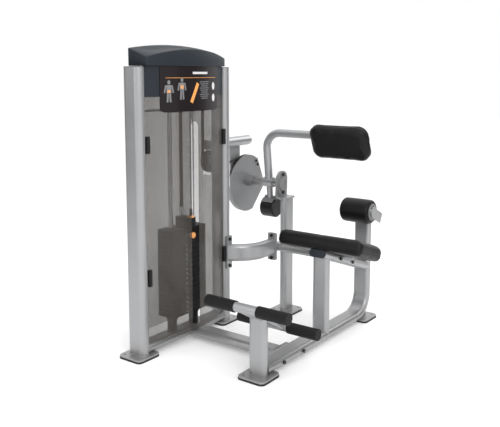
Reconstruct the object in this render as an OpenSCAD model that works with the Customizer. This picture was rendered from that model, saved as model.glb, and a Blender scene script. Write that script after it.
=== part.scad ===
// Seated back extension machine with a selectorized weight stack.
// Millimetres, +Z up. X runs from the weight tower to the seat, Y from the foot bars to the lumbar roll.
// Pieces are drawn from the middle of the near tower column and set back by origin_x and origin_y.

/* [Tower] */
// Distance between the two tower columns
column_gap = 690; // [600:5:840]
// Height of the tower columns' caps above the floor
column_top = 1520; // [1300:10:1900]
// Long side of a column's flat-oval section
column_w = 118; // [90:1:140]
// Short side of a column's flat-oval section
column_t = 60; // [40:1:80]
// Height of the selector slot's top edge
slot_top = 1230; // [900:10:1240]
// Width of the selector slot
slot_w = 63; // [50:1:90]

/* [Frame tube] */
// Long side of the frame tube's flat-oval section
tube_w = 104; // [80:1:120]
// Short side of the frame tube's flat-oval section
tube_t = 48; // [36:1:60]
// Wall of the columns and frame tubes
tube_wall = 3; // [2:0.5:5]

/* [Feet] */
// Side of a square foot plate
foot_side = 156; // [140:1:200]
// Thickness of a foot plate
foot_t = 9; // [6:0.5:14]
// Thickness of the rubber pad under a foot plate
rubber_t = 9; // [4:0.5:14]
// Diameter of an anchor hole
anchor_d = 13; // [9:0.5:18]
// Distance of an anchor hole from the middle of its plate, in X and in Y
anchor_off = 54; // [45:1:60]

/* [Weight stack] */
// Length of a weight plate
plate_l = 274; // [220:1:320]
// Depth of a weight plate
plate_d = 110; // [90:1:130]
// Height of one weight plate
plate_pitch = 27.1; // [20:0.1:34]
// Number of plates that stay down
resting_count = 16; // [8:1:17]
// Diameter of a guide rod
rod_d = 25; // [18:0.5:32]
// Distance between the guide rods
rod_gap = 178; // [150:1:220]
// Diameter of the selector stem
stem_d = 22; // [18:0.5:28]
// Diameter of the selector pin
pin_d = 10; // [8:0.5:12]

/* [Belt drive] */
// Radius of a pulley's groove
pulley_r = 60; // [45:1:75]
// Width of the belt
belt_w = 20; // [15:1:30]
// Radius of the cam's belt track
track_r = 157; // [120:1:165]

/* [Arm] */
// Height of the arm's pivot
pivot_z = 810; // [760:1:860]
// Diameter of the pivot shaft
shaft_d = 46; // [36:0.5:50]
// Diameter of the arm tube
arm_d = 48; // [38:1:54]
// Reach of the arm above the pivot
arm_reach = 317; // [260:1:380]
// Lean of the arm towards the foot bars at rest
arm_lean = 7; // [0:0.5:12]
// Diameter of the counterweight
counter_d = 120; // [90:1:140]

/* [Pads] */
// Width of the seat pad
seat_w = 537; // [420:1:600]
// Length of the seat pad
seat_l = 290; // [240:1:360]
// Slope of the seat
seat_slope = 19.3; // [12:0.1:24]
// Width of the upper back pad
back_w = 372; // [320:1:440]
// Height of the upper back pad
back_h = 211; // [170:1:240]
// Thickness of the upper back pad
back_t = 70; // [56:1:90]
// Diameter of the lumbar roll
roll_d = 144; // [110:1:150]
// Length of the lumbar roll
roll_l = 182; // [150:1:196]

/* [Foot rest] */
// Length of a foot bar over its grips
bar_l = 480; // [360:1:600]
// Diameter of a foot bar
bar_d = 48; // [38:1:54]
// Bare length in the middle of a foot bar
bar_bare = 134; // [115:1:180]
// Diameter over a rubber grip
grip_d = 58; // [54:1:66]

/* [Hidden] */
$fn = 96;
frame_silver = [0.72, 0.72, 0.73];
black = [0.08, 0.08, 0.08];
slate = [0.18, 0.21, 0.24];
tint = [0.44, 0.42, 0.40, 0.55];
chrome = [0.85, 0.85, 0.87];
orange = [0.93, 0.58, 0.28];

// Floor, columns and beams
plate_top = rubber_t + foot_t;
beam_z = plate_top + tube_t / 2;
beam_top = plate_top + tube_t;
column_nose = column_w / 2;
column_side = column_t / 2;
cap_t = 3;
mid_y = column_gap / 2;
top_beam_z = column_top - cap_t - tube_t / 2;

// Seat frame places
seat_x = 657;
front_y = 164;
rear_y = 1228;
post_x = 224.6;
pivot_y = 1063;
rear_post_y = 1246;
bend_r = 125;
seam_y = 288;
seat_column_y = 759;
seat_front_y = 715;
seat_axis_z = 511;
cross_y = 1037;
cross_z = 420;
cross_start = 172;
base_cross_y = 402;
side_nose = seat_x - tube_w / 2;
post_top = 616;
seat_run = (rear_post_y - tube_t / 2 - seat_front_y) / cos(seat_slope);

// Weight stack
stack_z = 155;
plate_gap = 0.1;
rod_clear = 1;
stem_clear = 1;
pin_clear = 0.3;
stack_top = stack_z + plate_pitch * (resting_count + 2);
pin_z = stack_z + plate_pitch * (resting_count + 0.5);
bumper_t = 20;
bridge_z = column_top - 230;
bridge_t = 8;
block_top = stack_top + 58;
add_on_x = 66;
stem_collar_d = 40;
stem_collar_t = 6;
stem_top = block_top + 52;

// Belt and pulleys: the belt runs in the plane belt_x behind the far column
belt_x = -95;
belt_t = 3;
belt_gap = 0.3;
belt_r = pulley_r + belt_gap + belt_t / 2;
redirect_y = column_gap + 15;
redirect_z = 964;
riser_y = redirect_y - belt_r;
top_pulley_z = column_top - 140;
top_angle = atan2(mid_y - riser_y, -belt_x);
top_u = [cos(top_angle), sin(top_angle)];
rear_pulley = [belt_x + belt_r * top_u[0], riser_y + belt_r * top_u[1]];
front_pulley = [-belt_r * top_u[0], mid_y - belt_r * top_u[1]];
flange_t = 3;
flange_r = pulley_r + 6;
pulley_w = belt_w + 2 + 2 * flange_t;
cheek_t = 6;
cheek_gap = 1.5;
cheek_in = pulley_w / 2 + cheek_gap;
cheek_out = cheek_in + cheek_t;
axle_d = 16;
run_clear = 0.05;
carrier_t = 8;
carrier_z = top_beam_z - tube_t / 2 - carrier_t;

// Where the lower belt run leaves the cam's track and where it meets the redirect pulley
run_d = norm([pivot_y - redirect_y, redirect_z - pivot_z]);
run_centre = atan2(redirect_z - pivot_z, pivot_y - redirect_y);
cam_belt_r = track_r + belt_t / 2;
run_slope = asin((cam_belt_r + belt_r) / run_d) - run_centre;
run_l = sqrt(pow(run_d, 2) - pow(cam_belt_r + belt_r, 2));
run_start = 34;
joint_gap = 0.05;

// Arm
cam_x = -84;
cam_t = 6;
cam_r = 181;
cam_off = [4, -22];
cam_lug_a = [111, 131];
cam_lug_b = [188, -47];
cam_lug_c = [53, -198];
track_w = belt_w + 2;
boss_d = 75;
boss_end = -28;
shaft_start = -124;
support_x = -121;
support_t = 10;
housing_d = 84;
arm_x = 93;
hub_d = 62;
hub_start = 58;
hub_end = 127;
collar_end = 150;
bracket_x = 176;
bracket_t = 12;
flange_h = 156;
flange_w = 102;
bolt_off = 55;
arm_bend = 105;
arm_end = 762;
counter_drop = 164;
counter_l = 98;
stub_d = 38;
saddle_t = 6;

// Upper back pad, in the arm's own frame
pad_tilt = 23.4 - arm_lean;
pad_back = 52;
pad_up = 9;
pad_corner = 62;
pad_edge = 11;
pad_plate_t = 6;

// Tower panels
panel_t = 3;
panel_front = 102;
panel_rise = 63.1;
shroud_r = (pow(mid_y - column_side, 2) + pow(panel_rise, 2)) / (2 * panel_rise);
shroud_cx = panel_front - shroud_r;
beam_gap = 4;
top_beam_w = 2 * (panel_front - panel_rise - panel_t - beam_gap);
shroud_z = 72;
header_z = column_top - 154;
cover_z = column_top + 4;
placard_z = column_top - 235;
clip_h = 88;
slot_z = 100;
pan_x = -118;
stub_tube_d = 60;
stub_z = 1063;
stub_start = column_gap - 18;
stub_end = 1093;

// Lumbar roll
roll_y = 1178;
roll_z = 676;
roll_axle_d = 20;
core_d = 32;
disc_t = 6;
disc_d = 100;
arm_plate_t = 8;
roll_side = 2;
lumbar_in = roll_l / 2 + disc_t + roll_side;

// Foot bars
upper_bar = [66, 375];
lower_bar = [329, 220];
grip_end = 3;
bar_slope = atan2(upper_bar[1] - lower_bar[1], lower_bar[0] - upper_bar[0]);
bar_span = norm(lower_bar - upper_bar);

// The origin is under the middle of the whole machine.
origin_x = (seat_x + seat_w / 2 + belt_x - stub_tube_d / 2) / 2;
origin_y = rear_y / 2;

cope_trim = 2.5;
bolt_d = 12;
head_d = 20;
head_t = 8;
big = 2000;

// ---- Shared shapes ----

// Sets a piece back so that the machine's middle is at the origin.
module home() translate([-origin_x, -origin_y, 0]) children();

// Turns a flat drawing's X, Y and height into Y, Z and X.
module along_x() rotate([90, 0, 90]) children();

// Turns a flat drawing's X, Y and height into X, -Z and Y.
module along_y() rotate([-90, 0, 0]) children();

// A flat oval, long side along X.
module oval(w, t) {
  translate([-(w - t) / 2, -t / 2]) square([w - t, t]);
  for (s = [-1, 1]) translate([s * (w - t) / 2, 0]) circle(d = t);
}

// The wall of a flat-oval tube.
module oval_ring(w, t) difference() {
  oval(w, t);
  oval(w - 2 * tube_wall, t - 2 * tube_wall);
}

// The wall of a round tube.
module round_ring(d, wall) difference() {
  circle(d = d);
  circle(d = d - 2 * wall);
}

// A rounded rectangle, made of squares and circles.
module soft_rect(w, h, r) {
  translate([-w / 2 + r, -h / 2]) square([w - 2 * r, h]);
  translate([-w / 2, -h / 2 + r]) square([w, h - 2 * r]);
  for (x = [-1, 1], y = [-1, 1]) translate([x * (w / 2 - r), y * (h / 2 - r)]) circle(r);
}

// The outline of a standing column, filled, over the height that other pieces meet.
module column_solid(y) translate([0, y, plate_top]) linear_extrude(column_top) oval(column_w, column_t);

// The middles of the five feet.
foot_places = [[0, 0], [0, column_gap], [seat_x, front_y], [seat_x, rear_y], [post_x, pivot_y]];

// Runs its children for each foot.
module each_foot() for (p = foot_places) translate([p[0], p[1], 0]) children();

// The two anchor holes of a foot.
module anchor_holes(d, h) for (s = [-1, 1])
  translate([s * anchor_off, s * anchor_off, -1]) cylinder(d = d, h = h + 2);

// The seat tube's own frame: Y down the slope, Z off the seat.
module seat_frame() translate([seat_x, seat_front_y, seat_axis_z]) rotate([-seat_slope, 0, 0]) children();

// The arm's own frame: origin on the pivot, Z up the arm.
module arm_frame() translate([0, pivot_y, pivot_z]) rotate([arm_lean, 0, 0]) children();

// The frame of a top pulley: X along its axle, Y across the belt plane.
module pulley_frame(p) translate([p[0], p[1], top_pulley_z]) rotate([0, 0, top_angle + 90]) children();

// The filled outline of the long base tube and the rear post.
module rear_tube_shape(w, t) {
  translate([seat_x, seam_y, beam_z]) along_y() linear_extrude(rear_post_y - bend_r - seam_y) oval(w, t);
  translate([seat_x, rear_post_y - bend_r, beam_z + bend_r]) rotate([0, -90, 0]) rotate([0, 0, 90])
    rotate_extrude(angle = 90) translate([bend_r, 0]) rotate(90) oval(w, t);
  translate([seat_x, rear_post_y, beam_z + bend_r]) linear_extrude(post_top - beam_z - bend_r) oval(w, t);
}

// ---- Tower ----

module column(y) translate([0, y, plate_top]) linear_extrude(column_top - cap_t - plate_top)
  oval_ring(column_w, column_t);

module near_upright() color(frame_silver) home() column(0);

module far_upright() color(frame_silver) home() column(column_gap);

module upright_caps() color(black) home() for (y = [0, column_gap])
  translate([0, y, column_top - cap_t]) linear_extrude(cap_t) oval(column_w, column_t);

module foot_plates() color(frame_silver) home() each_foot() translate([0, 0, rubber_t]) difference() {
  linear_extrude(foot_t) soft_rect(foot_side, foot_side, 23);
  anchor_holes(anchor_d, foot_t);
}

module rubber_feet() color(black) home() each_foot() difference() {
  linear_extrude(rubber_t) soft_rect(foot_side + 4, foot_side + 4, 25);
  anchor_holes(anchor_d + 4, rubber_t);
}

// A beam between the columns, its ends coped to them.
module tower_beam(z, w) difference() {
  translate([0, 0, z]) along_y() linear_extrude(column_gap) oval_ring(w, tube_t);
  column_solid(0);
  column_solid(column_gap);
}

module tower_base_beam() color(frame_silver) home() tower_beam(beam_z, tube_w);

// The top beam is narrower, so that its ends stay behind the bent panel.
module tower_top_beam() color(frame_silver) home() tower_beam(top_beam_z, top_beam_w);

// Flat cross plate that holds the guide rods' upper ends.
module rod_bridge() color(frame_silver) home() difference() {
  translate([-column_nose + 20, column_side, bridge_z])
    cube([column_nose - 20 + top_beam_w / 2, column_gap - column_t, bridge_t]);
  translate([0, mid_y, bridge_z - 1]) cylinder(d = 60, h = bridge_t + 2);
}

module each_rod() for (s = [-1, 1]) translate([0, mid_y + s * rod_gap / 2, 0]) children();

module guide_rods() color(chrome) home() each_rod()
  translate([0, 0, beam_top]) cylinder(d = rod_d, h = bridge_z - beam_top);

module stack_stand() color(frame_silver) home() each_rod() translate([0, 0, beam_top]) difference() {
  cylinder(d = 54, h = stack_z - bumper_t - beam_top);
  translate([0, 0, -1]) cylinder(d = rod_d + rod_clear, h = stack_z);
}

module stack_bumpers() color(black) home() each_rod() translate([0, 0, stack_z - bumper_t]) difference() {
  cylinder(d = 64, h = bumper_t - plate_gap);
  translate([0, 0, -1]) cylinder(d = rod_d + 2 * rod_clear, h = bumper_t + 2);
}

// One weight plate, with its rod, stem and pin holes. A raised pad carries the plate above.
module weight_plate(i) translate([0, mid_y, stack_z + i * plate_pitch]) difference() {
  union() {
    translate([-plate_d / 2, -plate_l / 2, 0]) cube([plate_d, plate_l, plate_pitch - 1]);
    translate([-plate_d / 2 + 8, -plate_l / 2 + 8, 1])
      cube([plate_d - 16, plate_l - 16, plate_pitch - plate_gap - 1]);
  }
  for (s = [-1, 1]) translate([0, s * rod_gap / 2, -1]) cylinder(d = rod_d + 2 * rod_clear, h = 40);
  translate([0, 0, -1]) cylinder(d = stem_d + 2 * stem_clear, h = 40);
  translate([-stem_d, 0, plate_pitch / 2]) along_x() cylinder(d = pin_d + 2 * pin_clear, h = plate_d);
}

module resting_plates() color(black) home() for (i = [0 : resting_count - 1]) weight_plate(i);

// The plate above the pin and the top plate, which the stem is fixed in.
module lifted_plates() color(black) home() for (i = [0, 1]) weight_plate(resting_count + i);

module selector_stem() color(chrome) home() translate([0, mid_y, 0]) difference() {
  union() {
    translate([0, 0, stack_z + 12]) cylinder(d = stem_d, h = stem_top - stack_z - 12);
    translate([0, 0, stack_top - plate_gap]) cylinder(d = stem_collar_d, h = stem_collar_t);
    translate([-8, -16, stem_top - 30]) cube([16, 32, 34]);
  }
  for (i = [0 : resting_count + 1]) translate([-stem_d, 0, stack_z + (i + 0.5) * plate_pitch])
    along_x() cylinder(d = pin_d + 2 * pin_clear, h = 2 * stem_d);
}

// Steel pin with a turned knob; it pulls straight out through the slot.
module selector_pin() color(orange) home() translate([0, mid_y, pin_z]) along_x() {
  translate([0, 0, -16]) cylinder(d = pin_d, h = 78);
  translate([0, 0, 60]) cylinder(d = 18, h = 14);
  translate([0, 0, 74]) cylinder(d = 34, h = 16);
}

// Block on the top plate for the half step. Its collar and post stand at the slot.
module add_on_weight() color(black) home() translate([0, mid_y, 0]) difference() {
  union() {
    translate([28, 0, stack_top - plate_gap]) linear_extrude(block_top - stack_top + plate_gap)
      soft_rect(112, 56, 12);
    translate([add_on_x, 0, block_top]) cylinder(d = 36, h = 7);
    translate([add_on_x, 0, block_top]) cylinder(d = 14, h = 49);
  }
  translate([0, 0, stack_top - 1]) cylinder(d = stem_d + 2 * stem_clear, h = 100);
  translate([0, 0, stack_top - 1]) cylinder(d = stem_collar_d + 2 * stem_clear, h = stem_collar_t + 1);
}

// An upright sheet on the tower's arc, between two heights.
module arc_sheet(r0, r1, z0, z1, span) translate([shroud_cx, mid_y, z0]) rotate([0, 0, -span])
  rotate_extrude(angle = 2 * span, $fn = 360) translate([r0, 0]) square([r1 - r0, z1 - z0]);

panel_span = asin((mid_y - 27) / shroud_r);

module front_shroud() color(tint) home() difference() {
  arc_sheet(shroud_r - panel_t, shroud_r, shroud_z, header_z, panel_span);
  column_solid(0);
  column_solid(column_gap);
  translate([60, mid_y - slot_w / 2, slot_z]) cube([60, slot_w, slot_top - slot_w / 2 - slot_z]);
  translate([60, mid_y, slot_top - slot_w / 2]) along_x() cylinder(d = slot_w, h = 60);
}

module header_panel() color(slate) home() difference() {
  arc_sheet(shroud_r - panel_t, shroud_r, header_z, cover_z, panel_span);
  column_solid(0);
  column_solid(column_gap);
}

// Blank instruction plate, bent to the panel, with round lower corners.
module placard() color(black) home() intersection() {
  arc_sheet(shroud_r, shroud_r + 3, placard_z, cover_z, panel_span);
  translate([20, mid_y, placard_z + 150]) along_x() linear_extrude(120) soft_rect(466, 300, 30);
}

// Black clips on the shroud's edges.
module shroud_clips() color(black) home() difference() {
  for (z = [383, 1079], y = [24, column_gap - 46]) translate([36, y, z]) cube([24, 22, clip_h]);
  column_solid(0);
  column_solid(column_gap);
  translate([shroud_cx, mid_y, 0]) cylinder(r = shroud_r, h = big, $fn = 360);
}

// The rear shroud's plan, filled, set in by a wall's thickness.
module pan_plan(w) polygon([
  [-30, column_side + 1 + w], [-60 + 0.5 * w, column_side + 1 + w], [pan_x + w, 78 + 0.5 * w],
  [pan_x + w, column_gap - 22 - w], [-30, column_gap - 22 - w]
]);

// Tinted shroud behind the stack, with a window where the redirect pulley passes through.
module rear_shroud() color(tint) home() difference() {
  translate([0, 0, shroud_z]) linear_extrude(cover_z - shroud_z) pan_plan(0);
  translate([0, 0, shroud_z - 1]) linear_extrude(cover_z - shroud_z - panel_t + 1) pan_plan(panel_t);
  translate([-50, 0, 0]) cube([100, column_gap, big]);
  column_solid(0);
  column_solid(column_gap);
  translate([pan_x + 4, redirect_y - flange_r - 40, redirect_z - flange_r - 12])
    cube([60, 100, 2 * flange_r + 24]);
}

// Moulded cover: grid points of its crowned, sloping and dished top.
cover_n = 24;
cover_m = 12;
cover_y0 = 28;
cover_y1 = column_gap - 34;
cover_back = -68;
function cover_s(j) = 2 * j / cover_n - 1;
function crown(j) = 1 - pow(cover_s(j), 2);
function cover_y(j) = cover_y0 + (cover_y1 - cover_y0) * j / cover_n;
function cover_front(j) = 64 + 44 * crown(j);
function cover_x(i, j) = cover_back + (cover_front(j) - cover_back) * i / cover_m;
function dish(i, j) = 12 * max(0, 1 - pow(cover_s(j) / 0.86, 6)) * max(0, 1 - pow((i / cover_m - 0.5) / 0.36, 4));
function cover_top(i, j) = cover_z + 91 + 23 * crown(j) + (21 * crown(j) - 47) * i / cover_m - dish(i, j);
function cell(i, j) = i * (cover_n + 1) + j;
cover_count = (cover_m + 1) * (cover_n + 1);

module cover_block() polyhedron(
  points = concat(
    [for (i = [0 : cover_m], j = [0 : cover_n]) [cover_x(i, j), cover_y(j), cover_top(i, j)]],
    [for (i = [0 : cover_m], j = [0 : cover_n]) [cover_x(i, j), cover_y(j), cover_z]]),
  faces = concat(
    [for (i = [0 : cover_m - 1], j = [0 : cover_n - 1]) [cell(i, j), cell(i, j + 1), cell(i + 1, j + 1)]],
    [for (i = [0 : cover_m - 1], j = [0 : cover_n - 1]) [cell(i, j), cell(i + 1, j + 1), cell(i + 1, j)]],
    [for (i = [0 : cover_m - 1], j = [0 : cover_n - 1])
      [cover_count + cell(i, j), cover_count + cell(i + 1, j + 1), cover_count + cell(i, j + 1)]],
    [for (i = [0 : cover_m - 1], j = [0 : cover_n - 1])
      [cover_count + cell(i, j), cover_count + cell(i + 1, j), cover_count + cell(i + 1, j + 1)]],
    [for (j = [0 : cover_n - 1], s = [0, cover_m]) s == 0
      ? [cell(s, j), cover_count + cell(s, j), cover_count + cell(s, j + 1), cell(s, j + 1)]
      : [cell(s, j), cell(s, j + 1), cover_count + cell(s, j + 1), cover_count + cell(s, j)]],
    [for (i = [0 : cover_m - 1], s = [0, cover_n]) s == 0
      ? [cell(i, s), cell(i + 1, s), cover_count + cell(i + 1, s), cover_count + cell(i, s)]
      : [cell(i, s), cover_count + cell(i, s), cover_count + cell(i + 1, s), cell(i + 1, s)]]));

module top_cover() color(slate) home() difference() {
  cover_block();
  translate([cover_back + 4, cover_y0 + 4, column_top])
    cube([64 - cover_back - 10, cover_y1 - cover_y0 - 8, 36]);
}

module cover_screws() color(black) home()
  for (x = [4, 35], y = [cover_y0 - 2, cover_y1]) translate([x, y, column_top + 17]) along_y() cylinder(d = 8, h = 2);

// ---- Belt drive ----

// Grooved pulley, axle along X, middle at the origin.
module pulley() rotate([0, 90, 0]) difference() {
  union() {
    translate([0, 0, -pulley_w / 2]) cylinder(r = pulley_r, h = pulley_w);
    for (z = [-pulley_w / 2, pulley_w / 2 - flange_t]) translate([0, 0, z]) cylinder(r = flange_r, h = flange_t);
  }
  translate([0, 0, -pulley_w]) cylinder(d = axle_d + 2 * run_clear, h = 2 * pulley_w);
  for (z = [-pulley_w / 2 - 1, pulley_w / 2 - 5]) translate([0, 0, z]) difference() {
    cylinder(r = pulley_r - 8, h = 6);
    cylinder(d = axle_d + 24, h = 6);
  }
}

// One cheek of a hanger for a top pulley.
module hanger_cheek() {
  translate([-cheek_t / 2, -26, 0]) cube([cheek_t, 52, carrier_z - top_pulley_z]);
  rotate([0, 90, 0]) translate([0, 0, -cheek_t / 2]) cylinder(d = 52, h = cheek_t);
}

module redirect_bracket() color(frame_silver) home() difference() {
  union() {
    for (x = [belt_x - cheek_out, belt_x + cheek_in]) translate([x, 0, 0]) {
      translate([0, redirect_y, redirect_z]) along_x() cylinder(d = 48, h = cheek_t);
      translate([0, redirect_y - 33, redirect_z - 15]) cube([cheek_t, flange_r + 41, 50]);
    }
    translate([belt_x - cheek_out, redirect_y + flange_r + 2, redirect_z - 15]) cube([2 * cheek_out, 6, 50]);
    translate([belt_x + cheek_out, column_gap - 18, redirect_z - 15]) cube([30, 36, 50]);
  }
  column_solid(column_gap);
  translate([belt_x - 50, redirect_y, redirect_z]) along_x() cylinder(d = axle_d, h = 100);
  translate([belt_x + cheek_out, redirect_y, redirect_z]) along_x() cylinder(d = 26, h = 6);
}

module pulley_carrier() color(frame_silver) home() {
  translate([-108, mid_y - 15, carrier_z]) cube([108 + top_beam_w / 2, 330, carrier_t]);
  for (p = [rear_pulley, front_pulley]) pulley_frame(p) difference() {
    for (s = [-1, 1]) translate([s * (cheek_in + cheek_t / 2), 0, 0]) hanger_cheek();
    translate([-50, 0, 0]) along_x() cylinder(d = axle_d, h = 100);
  }
}

// An axle with a head at each end, its middle at the origin.
module axle() rotate([0, 90, 0]) {
  translate([0, 0, -cheek_out]) cylinder(d = axle_d, h = 2 * cheek_out);
  for (z = [-cheek_out - 4, cheek_out]) translate([0, 0, z]) cylinder(d = 24, h = 4);
}

module pulley_axles() color(chrome) home() {
  translate([belt_x, redirect_y, redirect_z]) axle();
  for (p = [rear_pulley, front_pulley]) pulley_frame(p) axle();
}

module redirect_pulley() color(black) home() translate([belt_x, redirect_y, redirect_z]) pulley();

module rear_top_pulley() color(black) home() pulley_frame(rear_pulley) pulley();

module front_top_pulley() color(black) home() pulley_frame(front_pulley) pulley();

// A stretch of belt bent round a pulley, from angle a, over sweep degrees; plane YZ of its frame.
module belt_bend(r, a, sweep) rotate([0, 90, 0]) rotate([0, 0, a]) rotate_extrude(angle = sweep)
  translate([r - belt_t / 2, -belt_w / 2]) square([belt_t, belt_w]);

// From the cam's track down to the redirect pulley and round it to the riser.
module belt_lower_run() color(black) home() translate([belt_x, redirect_y, redirect_z]) {
  rotate([run_slope, 0, 0]) translate([-belt_w / 2, joint_gap, -belt_r - belt_t / 2])
    cube([belt_w, run_l - run_start - joint_gap, belt_t]);
  belt_bend(belt_r, -90, 90 + run_slope);
}

// The belt turns by the angle of the top pulleys as it rises.
module belt_riser() color(black) home() translate([belt_x, riser_y, redirect_z])
  linear_extrude(top_pulley_z - redirect_z, twist = -(top_angle + 90), slices = 10, $fn = 4)
  square([belt_w, belt_t], center = true);

module belt_top_run() color(black) home() {
  pulley_frame(rear_pulley) belt_bend(belt_r, 90, 90);
  pulley_frame(front_pulley) belt_bend(belt_r, 180, 90);
  pulley_frame(rear_pulley) translate([-belt_w / 2, -norm(front_pulley - rear_pulley), belt_r - belt_t / 2])
    cube([belt_w, norm(front_pulley - rear_pulley), belt_t]);
}

// From the front top pulley down to the stem.
module belt_drop() color(black) home() translate([0, mid_y, stem_top + 4]) rotate([0, 0, top_angle + 90])
  translate([-belt_w / 2, -belt_t / 2, 0]) cube([belt_w, belt_t, top_pulley_z - stem_top - 4 - joint_gap]);

// The belt's wound end on the cam's track.
module cam_belt() color(black) home() translate([belt_x, pivot_y, pivot_z]) along_x() rotate([0, 0, 50])
  rotate_extrude(angle = 112) translate([track_r, -belt_w / 2]) square([belt_t, belt_w]);

// ---- Pivot ----

// The cam's face: a disc off the shaft's centre, cut by two straight edges between three lugs.
module cam_face() difference() {
  union() {
    translate(cam_off) circle(cam_r, $fn = 180);
    polygon([cam_off, cam_off + 1.2 * (cam_lug_a - cam_off), 2 * cam_lug_b, cam_off + 1.2 * (cam_lug_c - cam_off)]);
  }
  beyond(cam_lug_a, cam_lug_b);
  beyond(cam_lug_b, cam_lug_c);
}

// All that lies left of the line from p to q.
module beyond(p, q) translate(p) rotate(atan2(q[1] - p[1], q[0] - p[0])) translate([-big / 2, 0])
  square([big, big]);

module cam() color(frame_silver) home() translate([0, pivot_y, pivot_z]) along_x() difference() {
  union() {
    translate([0, 0, cam_x]) linear_extrude(cam_t) cam_face();
    translate([0, 0, cam_x - track_w]) cylinder(d = boss_d, h = track_w);
    translate([0, 0, cam_x + cam_t]) cylinder(d = boss_d, h = boss_end - cam_x - cam_t);
    translate([0, 0, cam_x - track_w]) rotate([0, 0, 45]) rotate_extrude(angle = 122)
      translate([track_r - 10, 0]) square([10, track_w]);
    translate([cam_off[0], cam_off[1], cam_x - track_w]) rotate([0, 0, 182]) rotate_extrude(angle = 102)
      translate([cam_r - 8, 0]) square([6, track_w]);
  }
  translate([0, 0, shaft_start]) cylinder(d = shaft_d, h = 200);
}

module stub_shape(d) translate([belt_x, stub_start, stub_z]) along_y() cylinder(d = d, h = stub_end - stub_start);

// Tube from the far column to the cam's support plate, cut off at an angle and closed.
module stub_tube() color(frame_silver) home() {
  difference() {
    stub_shape(stub_tube_d);
    intersection() {
      stub_shape(stub_tube_d - 2 * tube_wall);
      translate([belt_x, stub_end - 32, stub_z]) rotate([-30, 0, 0]) translate([-60, -500, -60]) cube([120, 500, 120]);
    }
    translate([belt_x, stub_end, stub_z - 10]) rotate([-30, 0, 0]) translate([-60, 0, -120]) cube([120, 100, 240]);
  }
  difference() {
    translate([belt_x, stub_start, stub_z - 24]) cube([60, 36, 48]);
    translate([0, -1, 0]) stub_shape(stub_tube_d);
    column_solid(column_gap);
  }
}

module cam_support_plate() color(frame_silver) home() difference() {
  translate([support_x, 0, 0]) along_x() linear_extrude(support_t) polygon([
    [930, stub_z], [1026, stub_z], [1026, 930], [1122, 850], [1122, 765], [1070, 700], [935, 694]
  ]);
  translate([0, 1, 0]) stub_shape(stub_tube_d);
  translate([belt_x - 60, pivot_y, pivot_z]) along_x() cylinder(d = housing_d, h = 60);
}

module inner_bearing() color(black) home() translate([support_x - 4, pivot_y, pivot_z]) along_x() difference() {
  cylinder(d = housing_d, h = support_t + 7);
  translate([0, 0, -1]) cylinder(d = shaft_d + 2 * run_clear, h = 40);
}

// Shaft with its dark sleeve and the collar beside the arm's hub.
module pivot_shaft() color(black) home() translate([0, pivot_y, pivot_z]) along_x() {
  translate([0, 0, shaft_start]) cylinder(d = shaft_d, h = bracket_x + 2 * bracket_t - 2 - shaft_start);
  translate([0, 0, boss_end]) cylinder(d = shaft_d + 6, h = hub_start - boss_end);
  translate([0, 0, hub_end]) cylinder(d = shaft_d + 6, h = collar_end - hub_end);
}

// The plate's outline under the bearing: the flange's oval, flared to the post's cap.
module bracket_face() {
  rotate(90) oval(flange_h, flange_w);
  polygon([[-flange_w / 2, 0], [flange_w / 2, 0], [58, -flange_h / 2], [-58, -flange_h / 2]]);
}

module bearing_bores(h) {
  translate([0, 0, -40]) cylinder(d = shaft_d + 2 * run_clear, h = h);
  for (s = [-1, 1]) translate([0, s * bolt_off, -40]) cylinder(d = bolt_d, h = h);
}

module pivot_bracket() color(frame_silver) home() {
  translate([bracket_x, pivot_y, pivot_z]) along_x() difference() {
    union() {
      linear_extrude(bracket_t) bracket_face();
      translate([0, 0, -22]) cylinder(d = 64, h = 22);
    }
    translate([0, 0, -40]) cylinder(d = shaft_d + 2, h = 80);
    for (s = [-1, 1]) translate([0, s * bolt_off, -40]) cylinder(d = bolt_d, h = 80);
  }
  translate([post_x - 11, pivot_y, pivot_z - flange_h / 2 - 10]) linear_extrude(10) soft_rect(84, 116, 24);
}

module outer_bearing() color(frame_silver) home()
  translate([bracket_x + bracket_t, pivot_y, pivot_z]) along_x() difference() {
    union() {
      linear_extrude(7) rotate(90) oval(flange_h, flange_w - 4);
      cylinder(d = 84, h = 12);
    }
    bearing_bores(80);
  }

post_cap_z = pivot_z - flange_h / 2 - 10;

module post_solid(h) translate([post_x, pivot_y, plate_top]) linear_extrude(h) rotate(90) oval(tube_w, tube_t);

module pivot_post() color(frame_silver) home() translate([post_x, pivot_y, plate_top])
  linear_extrude(post_cap_z - plate_top) rotate(90) oval_ring(tube_w, tube_t);

// ---- Arm ----

// The arm's route: up from the hub, a quarter bend, then across to the pad.
module arm_route(d) {
  translate([arm_x, 0, 0]) cylinder(d = d, h = arm_reach - arm_bend);
  translate([arm_x + arm_bend, 0, arm_reach - arm_bend]) rotate([90, 0, 0]) rotate([0, 0, 90])
    rotate_extrude(angle = 90) translate([arm_bend, 0]) circle(d = d);
  translate([arm_x + arm_bend, 0, arm_reach]) along_x() cylinder(d = d, h = arm_end - arm_x - arm_bend);
}

// Bent tube on its hub, closed at the pad end, with the stub that carries the counterweight.
module arm_tube() color(frame_silver) home() arm_frame() difference() {
  union() {
    difference() {
      arm_route(arm_d);
      intersection() {
        arm_route(arm_d - 2 * tube_wall);
        translate([-big / 2, -big / 2, 0]) cube([big / 2 + arm_end - tube_wall, big, big]);
      }
    }
    translate([hub_start, 0, 0]) along_x() cylinder(d = hub_d, h = hub_end - hub_start);
    translate([arm_x, 0, -counter_drop + counter_d / 2]) cylinder(d = stub_d, h = counter_drop - counter_d / 2);
  }
  translate([0, 0, 0]) along_x() cylinder(d = shaft_d, h = 200);
}

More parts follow.
